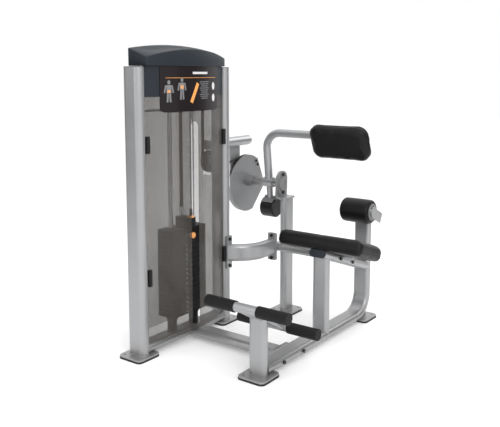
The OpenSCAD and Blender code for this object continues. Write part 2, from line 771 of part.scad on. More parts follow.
module counterweight() color(black) home() arm_frame() translate([arm_x, 0, -counter_drop]) along_x()
  rotate_extrude() polygon([
    [0, -counter_l / 2], [counter_d / 2 - 6, -counter_l / 2], [counter_d / 2, -counter_l / 2 + 6],
    [counter_d / 2, counter_l / 2 - 6], [counter_d / 2 - 6, counter_l / 2], [0, counter_l / 2]
  ]);

// Curved plate on the counterweight, with its two bolts.
module counterweight_saddle() color(frame_silver) home() arm_frame() translate([arm_x, 0, -counter_drop]) {
  difference() {
    union() {
      along_x() translate([0, 0, -counter_l / 2 + 8]) rotate([0, 0, 45]) rotate_extrude(angle = 90)
        translate([counter_d / 2 + joint_gap, 0]) square([saddle_t, counter_l - 16]);
      for (s = [-1, 1]) translate([s * 32, 0, counter_d / 2 + 2]) cylinder(d = 18, h = 14);
    }
    cylinder(d = stub_d, h = counter_drop);
  }
}

// The back pad's own frame: origin in the middle of the pad's back face, Z out of its back.
module pad_frame() arm_frame() translate([seat_x, 0, arm_reach]) rotate([pad_tilt - 90, 0, 0])
  translate([0, -pad_up, -pad_back]) children();

// Steel plate behind the pad and the two saddles that meet the arm tube.
module back_pad_bracket() color(frame_silver) home() difference() {
  pad_frame() {
    linear_extrude(pad_plate_t) soft_rect(240, 120, 16);
    for (s = [-1, 1]) translate([s * 60 - 10, -32, pad_plate_t]) cube([20, 64, pad_back - pad_plate_t]);
  }
  arm_frame() translate([0, 0, arm_reach]) along_x() cylinder(d = arm_d, h = arm_end + 60);
}

module back_pad() color(black) home() pad_frame() translate([0, 0, -back_t]) {
  translate([0, 0, pad_edge]) linear_extrude(back_t - pad_edge) soft_rect(back_w, back_h, pad_corner);
  linear_extrude(pad_edge) soft_rect(back_w - 2 * pad_edge, back_h - 2 * pad_edge, pad_corner - pad_edge);
}

// ---- Seat frame ----

link_z = 428;
link_r = 192;
link_c = [-14, 874];
link_bend = 65;
link_end = 968;
link_flange_t = 8;

module link_outline(w, t) translate([0, 0, link_z]) {
  translate([link_c[0], link_c[1], 0]) rotate([0, 0, -link_bend])
    rotate_extrude(angle = link_bend) translate([link_r, 0]) rotate(90) oval(w, t);
  translate([link_c[0], link_c[1], 0]) rotate([0, 0, -link_bend]) translate([link_r, 0, 0])
    rotate([90, 0, 0]) linear_extrude(40) rotate(90) oval(w, t);
  translate([link_c[0] + link_r, link_c[1], 0]) along_y() linear_extrude(link_end - link_c[1]) rotate(90) oval(w, t);
}

// Curved bar that ties the far column to the crossbeam, with its column plate and end flange.
module link_bar() color(frame_silver) home() {
  difference() {
    link_outline(tube_w, tube_t);
    link_outline(tube_w - 2 * tube_wall, tube_t - 2 * tube_wall);
    translate([-200, 500, 0]) cube([column_nose + 8 + 200, 400, big]);
  }
  difference() {
    translate([40, column_gap - 23, 335]) cube([column_nose + 8 - 40, 46, 195]);
    column_solid(column_gap);
    for (z = [352, 512]) translate([30, column_gap, z]) along_x() cylinder(d = bolt_d, h = 60);
  }
  translate([link_c[0] + link_r, link_end, link_z]) along_y() linear_extrude(link_flange_t) difference() {
    soft_rect(58, 170, 8);
    for (s = [-1, 1]) translate([0, s * 70]) circle(d = bolt_d);
  }
}

module cross_outline(w, t) translate([cross_start, cross_y, cross_z]) along_x()
  linear_extrude(seat_x - cross_start) oval(w, t);

// The seat tube's outline, filled, longer than the tube by the given lead.
module seat_tube_solid(w, t, lead) seat_frame() translate([0, -lead, 0]) along_y()
  linear_extrude(seat_run + lead + 30) oval(w, t);

// Crossbeam from the pivot post to the seat tube, with the flange that meets the link bar.
module crossbeam() color(frame_silver) home() {
  difference() {
    cross_outline(tube_w, tube_t);
    translate([tube_wall, 0, 0]) cross_outline(tube_w - 2 * tube_wall, tube_t - 2 * tube_wall);
    post_solid(big);
    seat_tube_solid(tube_w, tube_t, 0);
    for (y = seat_bolt_run) seat_frame() translate([-tube_w / 2 - head_t - 1, y, 0]) along_x()
      cylinder(d = head_d + 2, h = head_t + 2);
  }
  difference() {
    union() {
      translate([link_c[0] + link_r, link_end + link_flange_t, link_z]) along_y()
        linear_extrude(link_flange_t) soft_rect(58, 170, 8);
      translate([link_c[0] + link_r - 6, link_end + 2 * link_flange_t, cross_z - 20]) cube([12, 20, 40]);
    }
    for (s = [-1, 1]) translate([link_c[0] + link_r, link_end, link_z + s * 70]) along_y()
      cylinder(d = bolt_d, h = 40);
    cross_outline(tube_w, tube_t);
  }
}

// A bolt along its own +Z: head outside, shank through, nut behind.
module bolt(grip) {
  translate([0, 0, -grip]) cylinder(d = bolt_d, h = grip);
  cylinder(d = head_d, h = head_t);
  translate([0, 0, -grip - head_t]) cylinder(d = head_d, h = head_t, $fn = 6);
}

seat_bolt_run = [175, 324];
base_bolt_off = 92;
base_flange_t = 10;

// Bolts of the bearing, the link bar, the seat tube and the base beam.
module frame_bolts() color(black) home() {
  for (s = [-1, 1]) translate([bracket_x + bracket_t + 7, pivot_y, pivot_z + s * bolt_off]) along_x()
    bolt(bracket_t + 7);
  for (z = [352, 512]) translate([column_nose + 8, column_gap, z]) along_x() {
    cylinder(d = head_d, h = head_t);
    translate([0, 0, -8]) cylinder(d = bolt_d, h = 8);
  }
  for (s = [-1, 1]) translate([link_c[0] + link_r, link_end, link_z + s * 70]) rotate([90, 0, 0])
    bolt(2 * link_flange_t);
  for (y = seat_bolt_run) seat_frame() translate([tube_w / 2, y, 0]) along_x() bolt(tube_w);
  for (s = [-1, 1]) translate([seat_x + tube_w / 2, base_cross_y + s * base_bolt_off, beam_z]) along_x()
    bolt(tube_w + base_flange_t);
}

// Sloping tube under the seat, with its plastic end cap's lip.
module seat_tube() color(frame_silver) home() difference() {
  seat_tube_solid(tube_w, tube_t, 0);
  translate([0, tube_wall, 0]) seat_tube_solid(tube_w - 2 * tube_wall, tube_t - 2 * tube_wall, 0);
  translate([seat_x, rear_post_y, 0]) linear_extrude(big) oval(tube_w + 2 * cope_trim, tube_t);
  translate([0, rear_post_y, 0]) cube([big, big, big]);
  for (y = seat_bolt_run) seat_frame() translate([-100, y, 0]) along_x() cylinder(d = bolt_d, h = 200);
}

module seat_column() color(frame_silver) home() difference() {
  translate([seat_x, seat_column_y, beam_z]) linear_extrude(seat_axis_z - beam_z)
    oval_ring(tube_w - 2 * cope_trim, tube_t);
  seat_tube_solid(tube_w, tube_t, 100);
  seat_frame() translate([-100, -200, 0]) cube([200, 500, 200]);
  rear_tube_shape(tube_w, tube_t);
}

pad_lift = 14;
pad_top = 104;
pad_lead = 33;
board_t = 10;
pad_clear = 0.5;

// Seat cushion over its board, hollowed below for the tube and the board.
module seat_pad() color(black) home() seat_frame() translate([0, seat_l / 2 - pad_lead, 0]) difference() {
  translate([-seat_w / 2, 0, 0]) along_x() translate([0, (pad_top + pad_lift) / 2, 0])
    linear_extrude(seat_w) soft_rect(seat_l, pad_top - pad_lift, 22);
  translate([-tube_w / 2 - 6, -seat_l, 0]) cube([tube_w + 12, 2 * seat_l, tube_t / 2]);
}

// Long base tube, bent up into the rear post, with the web that stands on the rear foot.
module rear_frame_tube() color(frame_silver) home() {
  difference() {
    rear_tube_shape(tube_w, tube_t);
    rear_tube_shape(tube_w - 2 * tube_wall, tube_t - 2 * tube_wall);
    for (s = [-1, 1]) translate([seat_x - 100, base_cross_y + s * base_bolt_off, beam_z]) along_x()
      cylinder(d = bolt_d, h = 200);
  }
  difference() {
    translate([seat_x - 20, rear_y - foot_side / 2 + 2, plate_top]) cube([40, 110, 90]);
    translate([seat_x - 100, rear_post_y - bend_r, beam_z + bend_r]) along_x()
      cylinder(r = bend_r + tube_t / 2, h = 200, $fn = 180);
  }
}

// Arms and cross member that carry the lumbar roll's axle on the rear post.
module lumbar_bracket() color(frame_silver) home() {
  difference() {
    union() {
      for (s = [-1, 1]) translate([seat_x + s * (lumbar_in + arm_plate_t / 2) - arm_plate_t / 2, roll_y, roll_z])
        along_x() linear_extrude(arm_plate_t) {
          circle(34);
          rotate(-26) translate([0, -34]) square([106, 60]);
        }
      translate([seat_x - lumbar_in, 0, 0]) along_x() linear_extrude(2 * lumbar_in)
        polygon([[1232, post_top], [1282, post_top], [1282, post_top + 34], [1262, post_top + 34]]);
    }
    translate([seat_x - 200, roll_y, roll_z]) along_x() cylinder(d = roll_axle_d, h = 400);
  }
  translate([seat_x - lumbar_in - arm_plate_t, roll_y, roll_z]) along_x()
    cylinder(d = roll_axle_d, h = 2 * lumbar_in + 2 * arm_plate_t);
}

// Turning core of the lumbar roll, with its light end discs.
module lumbar_core() color([0.8, 0.8, 0.8]) home() translate([seat_x - roll_l / 2 - disc_t, roll_y, roll_z]) along_x()
  difference() {
    union() {
      cylinder(d = core_d, h = roll_l + 2 * disc_t);
      for (z = [0, roll_l + disc_t]) translate([0, 0, z]) cylinder(d = disc_d, h = disc_t);
    }
    translate([0, 0, -10]) cylinder(d = roll_axle_d + 2 * run_clear, h = roll_l + 40);
  }

module lumbar_roll() color(black) home() translate([seat_x - roll_l / 2, roll_y, roll_z]) along_x() difference() {
  cylinder(d = roll_d, h = roll_l);
  translate([0, 0, -1]) cylinder(d = core_d, h = roll_l + 2);
}

// Base beam from the tower to the seat frame, with its bolted end flange.
module base_cross_tube() color(frame_silver) home() difference() {
  union() {
    difference() {
      translate([0, base_cross_y, beam_z]) along_x() linear_extrude(side_nose) oval(tube_w, tube_t);
      translate([0, base_cross_y, beam_z]) along_x() linear_extrude(side_nose)
        oval(tube_w - 2 * tube_wall, tube_t - 2 * tube_wall);
    }
    translate([side_nose - base_flange_t, base_cross_y, beam_z]) along_x()
      linear_extrude(base_flange_t + 12) oval(2 * (base_cross_y - seam_y) - 2, tube_t - 6);
  }
  along_y() translate([0, -beam_z, 0]) linear_extrude(column_gap) oval(tube_w, tube_t);
  rear_tube_shape(tube_w, tube_t);
  for (s = [-1, 1]) translate([side_nose - 50, base_cross_y + s * base_bolt_off, beam_z]) along_x()
    cylinder(d = bolt_d, h = 200);
}

// ---- Foot rest ----

module bar_axis(p, l, d) translate([seat_x - l / 2, p[0], p[1]]) along_x() cylinder(d = d, h = l);

module connector_solid(w, t) translate([seat_x, upper_bar[0], upper_bar[1]]) rotate([-bar_slope, 0, 0]) along_y()
  linear_extrude(bar_span) oval(w, t);

// Column, base stub, sloping connector and the two foot bars.
module footrest_frame() color(frame_silver) home() {
  difference() {
    translate([seat_x, front_y, plate_top]) linear_extrude(upper_bar[1] - plate_top)
      oval_ring(tube_w - 2 * cope_trim, tube_t);
    connector_solid(tube_w, tube_t);
    translate([seat_x, upper_bar[0], upper_bar[1]]) rotate([-bar_slope, 0, 0]) translate([-80, -80, 0])
      cube([160, bar_span + 160, 160]);
  }
  difference() {
    translate([seat_x, front_y, beam_z]) along_y() linear_extrude(seam_y - front_y) oval_ring(tube_w, tube_t);
    translate([seat_x, front_y, 0]) linear_extrude(big) oval(tube_w + 2 * cope_trim, tube_t);
  }
  difference() {
    connector_solid(tube_w, tube_t);
    connector_solid(tube_w - 2 * tube_wall, tube_t - 2 * tube_wall);
    for (p = [upper_bar, lower_bar]) bar_axis(p, bar_l, bar_d);
  }
  for (p = [upper_bar, lower_bar]) difference() {
    bar_axis(p, bar_l - 2 * grip_end, bar_d);
    bar_axis(p, bar_l, bar_d - 2 * tube_wall);
  }
}

module foot_grips() color(black) home() for (p = [upper_bar, lower_bar], s = [0, 1])
  translate([seat_x, p[0], p[1]]) mirror([s, 0, 0]) along_x() difference() {
    translate([0, 0, bar_bare / 2]) cylinder(d = grip_d, h = (bar_l - bar_bare) / 2);
    cylinder(d = bar_d, h = bar_l / 2 - grip_end);
  }

near_upright();
far_upright();
upright_caps();
foot_plates();
rubber_feet();
tower_base_beam();
tower_top_beam();
rod_bridge();
guide_rods();
stack_stand();
stack_bumpers();
resting_plates();
lifted_plates();
selector_stem();
selector_pin();
add_on_weight();
front_shroud();
header_panel();
placard();
shroud_clips();
rear_shroud();
top_cover();
cover_screws();
redirect_bracket();
pulley_carrier();
pulley_axles();
redirect_pulley();
rear_top_pulley();
front_top_pulley();
belt_lower_run();
belt_riser();
belt_top_run();
belt_drop();
cam_belt();
cam();
stub_tube();
cam_support_plate();
inner_bearing();
pivot_shaft();
arm_tube();
counterweight();
counterweight_saddle();
back_pad_bracket();
back_pad();
pivot_post();
pivot_bracket();
outer_bearing();
link_bar();
crossbeam();
frame_bolts();
seat_tube();
seat_column();
seat_pad();
rear_frame_tube();
lumbar_bracket();
lumbar_core();
lumbar_roll();
base_cross_tube();
footrest_frame();
foot_grips();
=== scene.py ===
import math

import bpy
from mathutils import Matrix, Vector


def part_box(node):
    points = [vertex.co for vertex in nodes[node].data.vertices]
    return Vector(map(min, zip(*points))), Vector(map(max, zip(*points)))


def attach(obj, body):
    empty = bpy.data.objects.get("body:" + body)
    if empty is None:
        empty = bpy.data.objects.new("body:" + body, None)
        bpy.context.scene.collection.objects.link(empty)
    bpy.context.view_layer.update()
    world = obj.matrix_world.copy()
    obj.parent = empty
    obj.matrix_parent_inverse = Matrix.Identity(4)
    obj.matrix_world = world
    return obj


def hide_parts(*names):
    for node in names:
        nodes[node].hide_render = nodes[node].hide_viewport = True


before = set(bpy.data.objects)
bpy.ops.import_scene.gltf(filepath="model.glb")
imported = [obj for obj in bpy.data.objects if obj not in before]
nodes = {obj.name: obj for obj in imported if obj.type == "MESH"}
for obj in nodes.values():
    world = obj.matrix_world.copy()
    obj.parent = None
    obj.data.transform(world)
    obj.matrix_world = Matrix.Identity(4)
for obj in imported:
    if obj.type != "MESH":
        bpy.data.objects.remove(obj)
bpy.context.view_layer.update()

# ---- Welded frame ----
# Columns, base, seat frame and arm are bent flat-oval and round steel tube, welded and then powder
# coated light silver. The coat has a fine orange peel and thins to a brighter tone on edges. Close to
# the floor it is painted a darker grey, painted shade where the parts meet the floor.


def add(tree, kind, links=None, **values):
    """A new shader node. values set its properties, links sets or joins its inputs."""
    node = tree.nodes.new(kind)
    for name, value in values.items():
        setattr(node, name, value)
    for name, value in (links or {}).items():
        if isinstance(value, bpy.types.NodeSocket):
            tree.links.new(value, node.inputs[name])
        else:
            node.inputs[name].default_value = value
    return node


def effect(name, inputs, outputs):
    """An empty shader node group with its input and output sockets."""
    tree = bpy.data.node_groups.new(name, "ShaderNodeTree")
    for title, kind, value in inputs:
        socket = tree.interface.new_socket(title, in_out="INPUT", socket_type=kind)
        socket.default_value = value
    for title, kind in outputs:
        tree.interface.new_socket(title, in_out="OUTPUT", socket_type=kind)
    return tree, tree.nodes.new("NodeGroupInput"), tree.nodes.new("NodeGroupOutput")


def use(tree, group, links=None):
    """Places an effect in a material."""
    return add(tree, "ShaderNodeGroup", links, node_tree=group)


def finish_named(name, **sockets):
    """A new material with one Principled shader; plain numbers go straight on its sockets."""
    mat = bpy.data.materials.new(name)
    mat.use_nodes = True
    shader = mat.node_tree.nodes["Principled BSDF"]
    for title, value in sockets.items():
        shader.inputs[title.replace("_", " ")].default_value = value
    return mat, mat.node_tree, shader


def join_bump(tree, shader, height, strength, distance):
    """Height becomes the shader's normal."""
    bump = add(tree, "ShaderNodeBump", {"Height": height, "Strength": strength, "Distance": distance})
    tree.links.new(bump.outputs["Normal"], shader.inputs["Normal"])


FLOAT, COLOUR = "NodeSocketFloat", "NodeSocketColor"

# Broad tone variation and a fine surface texture, both solid in the object's own space.
mottle, mottle_in, mottle_out = effect(
    "mottle",
    [("Low", COLOUR, (0, 0, 0, 1)), ("High", COLOUR, (1, 1, 1, 1)), ("Patch", FLOAT, 6.0),
     ("Fine", FLOAT, 600.0), ("Dull", FLOAT, 0.4), ("Dull Range", FLOAT, 0.1)],
    [("Color", COLOUR), ("Roughness", FLOAT), ("Height", FLOAT)])
place = add(mottle, "ShaderNodeTexCoord").outputs["Object"]
patch = add(mottle, "ShaderNodeTexNoise",
            {"Vector": place, "Scale": mottle_in.outputs["Patch"], "Detail": 4.0})
fine = add(mottle, "ShaderNodeTexNoise", {"Vector": place, "Scale": mottle_in.outputs["Fine"], "Detail": 2.0})
tone = add(mottle, "ShaderNodeMix", {0: patch.outputs["Fac"], 6: mottle_in.outputs["Low"],
                                     7: mottle_in.outputs["High"]}, data_type="RGBA")
spread = add(mottle, "ShaderNodeMath", {0: patch.outputs["Fac"], 1: mottle_in.outputs["Dull Range"],
                                        2: mottle_in.outputs["Dull"]}, operation="MULTIPLY_ADD")
mottle.links.new(tone.outputs[2], mottle_out.inputs["Color"])
mottle.links.new(spread.outputs[0], mottle_out.inputs["Roughness"])
mottle.links.new(fine.outputs["Fac"], mottle_out.inputs["Height"])

# A mask that is 1 on sharp edges, broken up by noise, and 0 on flats.
edges, edges_in, edges_out = effect("worn_edges", [("Radius", FLOAT, 0.0015)], [("Mask", FLOAT)])
soft = add(edges, "ShaderNodeBevel", {"Radius": edges_in.outputs["Radius"]}, samples=4)
hard = add(edges, "ShaderNodeNewGeometry")
bend = add(edges, "ShaderNodeVectorMath", {0: soft.outputs["Normal"], 1: hard.outputs["Normal"]},
           operation="DOT_PRODUCT")
place = add(edges, "ShaderNodeTexCoord").outputs["Object"]
chips = add(edges, "ShaderNodeTexNoise", {"Vector": place, "Scale": 120.0, "Detail": 3.0})
edge = add(edges, "ShaderNodeMapRange", {"Value": bend.outputs["Value"], "From Min": 0.995, "From Max": 0.90,
                                         "To Min": 0.0, "To Max": 1.0})
broken = add(edges, "ShaderNodeMath", {0: edge.outputs["Result"], 1: chips.outputs["Fac"]},
             operation="MULTIPLY")
edges.links.new(broken.outputs[0], edges_out.inputs["Mask"])

# A mask that is 1 at the floor and fades out a hand's width up, in soft patches: dust on rubber, painted shade on
# silver.
dust_and_shade, dust_and_shade_in, dust_and_shade_out = effect("floor_dust_and_shade", [("Height", FLOAT, 0.1)], [("Mask", FLOAT)])
place = add(dust_and_shade, "ShaderNodeTexCoord").outputs["Object"]
rise = add(dust_and_shade, "ShaderNodeSeparateXYZ", {"Vector": place})
cloud = add(dust_and_shade, "ShaderNodeTexNoise", {"Vector": place, "Scale": 25.0, "Detail": 4.0})
fade = add(dust_and_shade, "ShaderNodeMapRange", {"Value": rise.outputs["Z"], "From Min": 0.0,
                                        "From Max": dust_and_shade_in.outputs["Height"], "To Min": 1.0, "To Max": 0.0})
dust_and_shade_mask = add(dust_and_shade, "ShaderNodeMath", {0: fade.outputs["Result"], 1: cloud.outputs["Fac"]}, operation="MULTIPLY")
dust_and_shade.links.new(dust_and_shade_mask.outputs[0], dust_and_shade_out.inputs["Mask"])


def coated(name, low, high, dull, dull_range, fine, bump, worn=None, dust_and_shade_tint=None, **sockets):
    """A painted, moulded or cast finish: mottled tone, fine texture, worn edges and a floor tint, which is dust where
    lighter and painted shade where darker.
    """
    mat, tree, shader = finish_named(name, **sockets)
    base = use(tree, mottle, {"Low": low + (1,), "High": high + (1,), "Patch": 5.0, "Fine": fine,
                              "Dull": dull, "Dull Range": dull_range})
    colour = base.outputs["Color"]
    for group, tint in ((edges, worn), (dust_and_shade, dust_and_shade_tint)):
        if tint:
            mask = use(tree, group).outputs["Mask"]
            colour = add(tree, "ShaderNodeMix", {0: mask, 6: colour, 7: tint + (1,)},
                         data_type="RGBA").outputs[2]
    tree.links.new(colour, shader.inputs["Base Color"])
    tree.links.new(base.outputs["Roughness"], shader.inputs["Roughness"])
    join_bump(tree, shader, base.outputs["Height"], bump, 0.0004)
    return mat


def finish(mat, *names):
    """Gives CAD nodes or new pieces a material."""
    for name in names:
        piece = nodes[name] if isinstance(name, str) else name
        if not piece.data.materials:
            piece.data.materials.append(mat)
        for slot in piece.material_slots:
            slot.material = mat


# The silver's darker tint near the floor is painted shade.
silver = coated("silver_powder_coat", (0.335, 0.338, 0.345), (0.385, 0.388, 0.395), 0.30, 0.10, 1400, 0.25,
                worn=(0.52, 0.52, 0.53), dust_and_shade_tint=(0.27, 0.265, 0.255), Metallic=0.6, Coat_Weight=0.2,
                Coat_Roughness=0.25)
finish(silver, "near_upright", "far_upright", "foot_plates", "tower_base_beam", "tower_top_beam",
       "redirect_bracket", "pulley_carrier", "stub_tube", "cam_support_plate", "arm_tube", "back_pad_bracket",
       "pivot_post", "pivot_bracket", "link_bar", "crossbeam", "seat_tube", "seat_column", "rear_frame_tube",
       "lumbar_bracket", "base_cross_tube", "footrest_frame")

# ---- Cam, bearings and other castings ----
# The cam is flame-cut plate in the frame's colour, darkened as painted shade. Bearing flanges, the lumbar
# core's discs and the counterweight's saddle are grey painted castings with a sandy skin.

# The cam's darker silver tone is painted shade.
cam_shaded_silver = coated("cam_plate_painted_shade", (0.25, 0.252, 0.258), (0.31, 0.312, 0.318), 0.36, 0.15, 900, 0.3,
                  worn=(0.45, 0.45, 0.45), Metallic=0.5)
finish(cam_shaded_silver, "cam")
casting = coated("grey_casting", (0.20, 0.20, 0.205), (0.28, 0.28, 0.285), 0.42, 0.16, 500, 0.8,
                 worn=(0.42, 0.42, 0.42), Metallic=0.4)
finish(casting, "outer_bearing", "inner_bearing", "counterweight_saddle", "lumbar_core")

# ---- Black paint, plastics and rubber ----
# Weight plates and the counterweight have thick black enamel. Caps, clips and pulleys are moulded
# nylon. Feet, bumpers and grips are moulded rubber, and the cover is textured slate plastic.

enamel = coated("black_enamel", (0.006, 0.006, 0.007), (0.012, 0.012, 0.013), 0.32, 0.15, 220, 0.35,
                worn=(0.05, 0.05, 0.05), Specular_IOR_Level=0.3, Coat_Weight=0.05, Coat_Roughness=0.2)
finish(enamel, "resting_plates", "lifted_plates", "counterweight", "frame_bolts", "cover_screws", "rod_bridge",
       "stack_stand", "add_on_weight")
nylon = coated("black_nylon", (0.006, 0.006, 0.007), (0.012, 0.012, 0.013), 0.42, 0.15, 800, 0.4,
               worn=(0.04, 0.04, 0.04), Specular_IOR_Level=0.25)
finish(nylon, "upright_caps", "shroud_clips", "redirect_pulley", "rear_top_pulley", "front_top_pulley")
rubber = coated("black_rubber", (0.005, 0.005, 0.005), (0.011, 0.011, 0.011), 0.50, 0.2, 500, 0.8,
                dust_and_shade_tint=(0.035, 0.034, 0.032), Specular_IOR_Level=0.22)
finish(rubber, "rubber_feet", "stack_bumpers", "foot_grips")
slate = coated("slate_plastic", (0.010, 0.014, 0.020), (0.015, 0.021, 0.029), 0.42, 0.14, 900, 0.6,
               worn=(0.03, 0.037, 0.05), Specular_IOR_Level=0.3, Coat_Weight=0.03, Coat_Roughness=0.35)
finish(slate, "header_panel")

# ---- Chrome and ground steel ----
# Guide rods, the selector stem and pulley axles are chromed, with faint handling smears. The pivot
# shaft is ground steel with fine turning marks along it.


def bright(name, low, high, rough, smear, squash, **sockets):
    """Polished metal with smears stretched by squash."""
    mat, tree, shader = finish_named(name, Metallic=1.0, **sockets)
    place = add(tree, "ShaderNodeTexCoord").outputs["Object"]
    mapping = add(tree, "ShaderNodeMapping", {"Vector": place, "Scale": squash})
    noise = add(tree, "ShaderNodeTexNoise",
                {"Vector": mapping.outputs["Vector"], "Scale": 30.0, "Detail": 5.0})
    colour = add(tree, "ShaderNodeMix", {0: noise.outputs["Fac"], 6: low + (1,), 7: high + (1,)},
                 data_type="RGBA")
    dull = add(tree, "ShaderNodeMath", {0: noise.outputs["Fac"], 1: smear, 2: rough},
               operation="MULTIPLY_ADD")
    tree.links.new(colour.outputs[2], shader.inputs["Base Color"])
    tree.links.new(dull.outputs[0], shader.inputs["Roughness"])
    return mat


chrome = bright("chrome", (0.70, 0.70, 0.72), (0.86, 0.86, 0.88), 0.05, 0.12, (1, 1, 0.15))
finish(chrome, "guide_rods", "selector_stem", "pulley_axles")
ground = bright("ground_steel", (0.30, 0.30, 0.305), (0.38, 0.38, 0.385), 0.30, 0.2, (12, 1, 1))
finish(ground, "pivot_shaft")

# ---- Drive belt ----
# A flat black belt with fabric cords inside, which show as fine lengthwise ribs under the rubber.

belt, tree, shader = finish_named("drive_belt")
place = add(tree, "ShaderNodeTexCoord").outputs["Object"]
ribs = add(tree, "ShaderNodeTexWave", {"Vector": place, "Scale": 160.0, "Distortion": 0.4},
           bands_direction="X")
wear = add(tree, "ShaderNodeTexNoise", {"Vector": place, "Scale": 40.0, "Detail": 4.0})
colour = add(tree, "ShaderNodeMix", {0: wear.outputs["Fac"], 6: (0.006, 0.006, 0.006, 1),
                                     7: (0.030, 0.029, 0.028, 1)}, data_type="RGBA")
tree.links.new(colour.outputs[2], shader.inputs["Base Color"])
shader.inputs["Roughness"].default_value = 0.6
join_bump(tree, shader, ribs.outputs["Fac"], 0.4, 0.0004)
finish(belt, "belt_lower_run", "belt_riser", "belt_top_run", "belt_drop", "cam_belt")

# ---- Tinted shrouds ----
# Bronze-grey sheets, bent to shape and clipped to the columns. The front one is dark enough to hide
# the works but lets the light slot and the stack show as soft tones.


def tinted(name, low, high, clear):
    """Smoked sheet: the light comes through by its alpha, streaked softly up and down by the rollers."""
    mat, tree, shader = finish_named(name, Coat_Weight=0.15, Coat_Roughness=0.12)
    base = use(tree, mottle, {"Low": low + (1,), "High": high + (1,), "Patch": 1.5, "Fine": 300.0,
                              "Dull": 0.24, "Dull Range": 0.06})
    place = add(tree, "ShaderNodeTexCoord").outputs["Object"]
    drawn = add(tree, "ShaderNodeMapping", {"Vector": place, "Scale": (6.0, 6.0, 0.25)})
    streak = add(tree, "ShaderNodeTexNoise", {"Vector": drawn.outputs["Vector"], "Scale": 1.6, "Detail": 3.0})
    haze = add(tree, "ShaderNodeMath", {0: streak.outputs["Fac"], 1: 0.16, 2: clear - 0.08},
               operation="MULTIPLY_ADD")
    tree.links.new(base.outputs["Color"], shader.inputs["Base Color"])
    tree.links.new(base.outputs["Roughness"], shader.inputs["Roughness"])
    tree.links.new(haze.outputs[0], shader.inputs["Alpha"])
    return mat


front_tint = tinted("front_tint", (0.070, 0.062, 0.055), (0.090, 0.080, 0.072), 0.44)
rear_tint = tinted("rear_tint", (0.42, 0.395, 0.37), (0.46, 0.435, 0.41), 0.34)
finish(front_tint, "front_shroud")
finish(rear_tint, "rear_shroud")

# ---- Top cover ----
# One slate moulding, crowned and dished, pressed over the column ends and the header. Its edges are
# rounded off and its crown is smooth.


def only(*pieces):
    """Selects these pieces alone, the last one active."""
    bpy.ops.object.select_all(action="DESELECT")
    for piece in pieces:
        piece.select_set(True)
        bpy.context.view_layer.objects.active = piece


def apply_all(piece):
    """Applies a piece's modifiers in order."""
    only(piece)
    for modifier in list(piece.modifiers):
        bpy.ops.object.modifier_apply(modifier=modifier.name)


def copy_of(name, node):
    """A new piece with a merged copy of a CAD node's mesh."""
    mesh = nodes[node].data.copy()
    piece = bpy.data.objects.new(name, mesh)
    bpy.context.scene.collection.objects.link(piece)
    only(piece)
    bpy.ops.object.mode_set(mode="EDIT")
    bpy.ops.mesh.select_all(action="SELECT")
    bpy.ops.mesh.remove_doubles(threshold=0.00002)
    bpy.ops.mesh.tris_convert_to_quads()
    bpy.ops.object.mode_set(mode="OBJECT")
    return piece


def rounded(piece, width, segments=3, angle=35):
    """Bevels a piece's sharp edges and smooths what is left."""
    bevel = piece.modifiers.new("edges", "BEVEL")
    bevel.width, bevel.segments, bevel.angle_limit = width, segments, math.radians(angle)
    apply_all(piece)
    bpy.ops.object.shade_smooth_by_angle(angle=math.radians(32))


cover = copy_of("cover_moulding", "top_cover")
rounded(cover, 0.004)
finish(slate, cover)
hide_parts("top_cover")
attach(cover, "frame")

# ---- Instruction placard ----
# A dark printed sheet under clear film, bent round the header. The print is plain shapes: two
# figures, discs, rows of blank lines and an orange slash, laid a hair proud of the film.

film = coated("placard_film", (0.006, 0.003, 0.004), (0.010, 0.006, 0.007), 0.35, 0.10, 300, 0.05,
              Coat_Weight=0.1, Coat_Roughness=0.1, Specular_IOR_Level=0.25)
finish(film, "placard")
lo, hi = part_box("placard")
chord = (hi.y - lo.y) / 2
sag = hi.x - lo.x - 0.003
arc_r = (chord * chord + sag * sag) / (2 * sag)
arc_x, arc_y = hi.x - arc_r, (lo.y + hi.y) / 2


def printed(name, mat, shapes):
    """Lays flat shapes, drawn in Y and Z from the sheet's middle, on the placard's curve."""
    bpy.ops.object.select_all(action="DESELECT")
    parts = []
    for kind, y, z, w, h, turn in shapes:
        if kind == "disc":
            bpy.ops.mesh.primitive_circle_add(vertices=40, radius=0.5, fill_type="TRIFAN")
        else:
            bpy.ops.mesh.primitive_plane_add(size=1.0)
        bpy.ops.transform.resize(value=(w, h, 1))
        bpy.ops.object.transform_apply(scale=True, rotation=True, location=False)
        part = bpy.context.object
        if kind == "bar":
            bpy.ops.object.mode_set(mode="EDIT")
            bpy.ops.mesh.subdivide(number_cuts=max(4, int(w / 0.012)))
            bpy.ops.object.mode_set(mode="OBJECT")
        part.data.transform(Matrix.Translation((y, z, 0)) @ Matrix.Rotation(math.radians(turn), 4, "Z"))
        parts.append(part)
    only(*parts)
    if len(parts) > 1:
        bpy.ops.object.join()
    piece = bpy.context.object
    middle_z = (lo.z + hi.z) / 2
    for point in piece.data.vertices:
        y = point.co.x
        x = math.sqrt(arc_r ** 2 - y * y) + arc_x
        point.co = (x + 0.0002, arc_y + y, middle_z + point.co.y)
    piece.location = (0, 0, 0)
    piece.name = name
    solid = piece.modifiers.new("print", "SOLIDIFY")
    solid.thickness, solid.offset = 0.0004, 0
    apply_all(piece)
    finish(mat, piece)
    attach(piece, "frame")
    return piece


